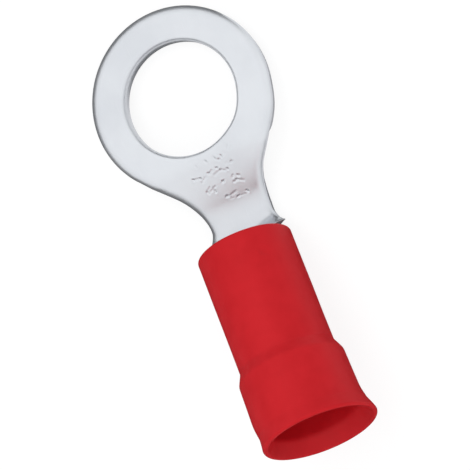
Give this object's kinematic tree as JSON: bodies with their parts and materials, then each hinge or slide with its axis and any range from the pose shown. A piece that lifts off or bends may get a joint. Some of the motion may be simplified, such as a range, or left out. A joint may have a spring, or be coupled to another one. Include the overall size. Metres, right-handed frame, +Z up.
{
  "type": "insulated ring terminal",
  "caption": "Ring terminal: flat tinned-copper ring tongue, stepped and rolled into a crimp barrel, in a stepped red vinyl sleeve with a flared mouth.",
  "frame": {"origin": "centre of the stud hole on the tongue's underside", "axes": "+Z up out of the tongue along the stud hole, +X from the ring towards the wire entry, +Y across the tongue"},
  "size_m": [0.0212, 0.0084, 0.0059],
  "materials": {
    "tinned_copper": "bright tin plating on stamped copper, lightly marked",
    "red_vinyl": "moulded red vinyl, satin"
  },
  "bodies": {
    "root": {"terminal": "tinned_copper", "sleeve": "red_vinyl"}
  },
  "joints": []
}
